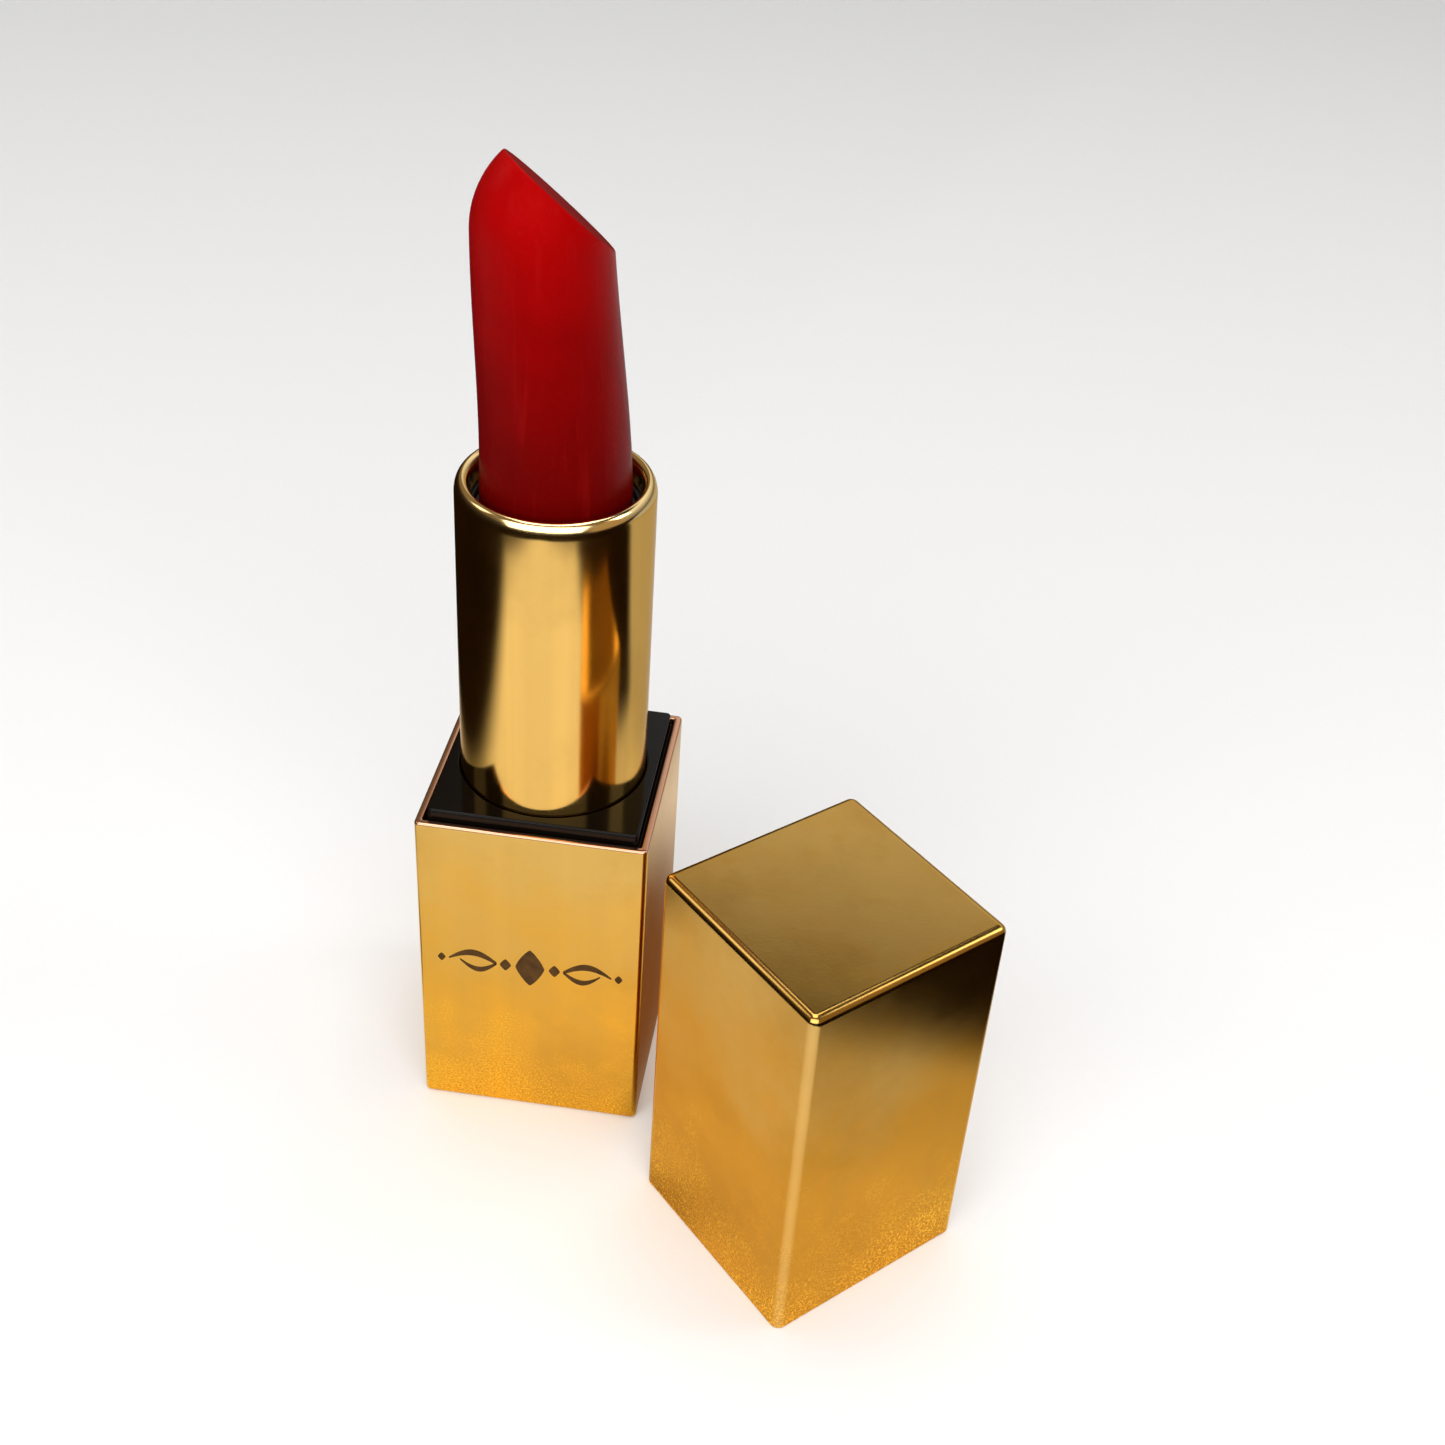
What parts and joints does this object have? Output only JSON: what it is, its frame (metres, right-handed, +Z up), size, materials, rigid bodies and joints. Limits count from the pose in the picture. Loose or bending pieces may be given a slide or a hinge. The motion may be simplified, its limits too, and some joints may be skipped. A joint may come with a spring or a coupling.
{
  "type": "lipstick case",
  "caption": "Square metal twist-up lipstick case, open: square base with a black collar, round sleeve, raised slant-cut bullet, and the square cap standing beside it.",
  "frame": {"origin": "centre of the base's underside", "axes": "+Z up along the lipstick's axis; the base's faces are square to X and Y, its front face is -Y, and the cap stands towards +X -Y"},
  "size_m": [0.0495, 0.0407, 0.0874],
  "materials": {
    "base_gold": "gold anodised, bright satin",
    "sleeve_gold": "gold anodised, polished",
    "cap_gold": "gold anodised, satin",
    "gloss_black": "high gloss",
    "black_plastic": "fine satin",
    "natural_plastic": "natural acetal, satin",
    "silicone": "soft matte",
    "steel": "zinc plated",
    "label": "blank printed film",
    "lipstick_red": "satin wax"
  },
  "bodies": {
    "base": {"base_shell": "base_gold", "shade_label": "label", "base_core": "black_plastic", "base_weight": "steel", "collar": "gloss_black", "guide_tube": "black_plastic", "drag_ring": "silicone"},
    "sleeve": {"sleeve_shell": "sleeve_gold", "cam_tube": "natural_plastic"},
    "carrier": {"bullet_cup": "black_plastic", "bullet": "lipstick_red"},
    "cap": {"cap_shell": "cap_gold", "cap_liner": "black_plastic", "cap_weight": "steel"}
  },
  "joints": [
    {"name": "sleeve_turn", "type": "hinge", "parent": "base", "child": "sleeve", "pos_m": [0, 0, 0.03], "axis": [0, 0, 1], "range_deg": [0, 540]},
    {"name": "bullet_lift", "type": "slide", "parent": "base", "child": "carrier", "axis": [0, 0, 1], "range_m": [-0.0275, 0]},
    {"name": "cap_lift", "type": "slide", "parent": "base", "child": "cap", "axis": [0, 0, 1], "range_m": [0, 0.065]}
  ],
  "couplings": [
    {"joint": "sleeve_turn", "follows": "bullet_lift", "rad_per_m": -342.72}
  ]
}
